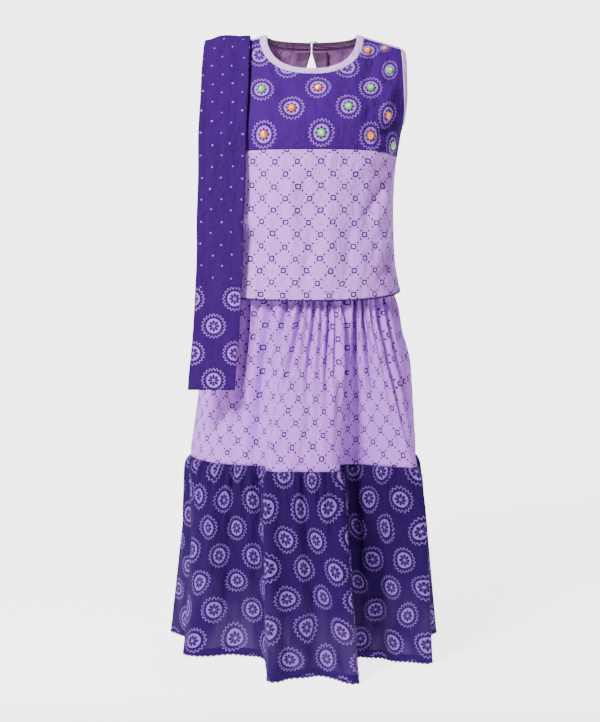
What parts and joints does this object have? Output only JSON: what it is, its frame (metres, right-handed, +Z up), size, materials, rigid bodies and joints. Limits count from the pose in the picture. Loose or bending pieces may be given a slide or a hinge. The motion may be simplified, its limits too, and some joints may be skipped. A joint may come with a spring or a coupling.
{
  "type": "ghagra choli",
  "caption": "Child's ghagra choli: sleeveless printed choli, two-tier gathered ghagra and a folded dupatta over the right shoulder, in their worn shape.",
  "frame": {"origin": "between the wearer's shoulders, at the height of the shoulder seams' inner ends, on the ghagra's axis", "axes": "+Z up, -Y the front, +X the wearer's left"},
  "size_m": [0.3842, 0.3804, 0.8473],
  "materials": {
    "lilac_print": "matte cotton with a small printed check of squares",
    "purple_print": "matte cotton with a printed sunburst repeat",
    "purple_dupatta": "light matte cotton with printed dots and sunbursts",
    "pale_binding": "folded cotton binding",
    "stone_green": "glossy sewn-on stone",
    "stone_orange": "glossy sewn-on stone",
    "button": "small plastic button"
  },
  "bodies": {
    "root": {"choli_yoke_front": "purple_print", "choli_body_front": "lilac_print", "choli_back": "lilac_print", "back_facing_left": "lilac_print", "back_facing_right": "lilac_print", "neck_binding": "pale_binding", "armhole_binding_left": "pale_binding", "armhole_binding_right": "pale_binding", "neck_button": "button", "neck_loop": "pale_binding", "ghagra_waistband": "lilac_print", "ghagra_upper_tier": "lilac_print", "ghagra_lower_tier": "purple_print", "yoke_stone_1": "stone_orange", "yoke_stone_2": "stone_green", "yoke_stone_3": "stone_orange", "yoke_stone_4": "stone_orange", "yoke_stone_5": "stone_green", "yoke_stone_6": "stone_orange", "yoke_stone_7": "stone_green", "yoke_stone_8": "stone_orange", "yoke_stone_9": "stone_green", "yoke_stone_10": "stone_green", "yoke_stone_11": "stone_orange", "yoke_stone_12": "stone_orange", "yoke_stone_13": "stone_green", "dupatta_front_fall": "purple_dupatta", "dupatta_shoulder": "purple_dupatta", "dupatta_back_fall": "purple_dupatta"}
  },
  "joints": []
}
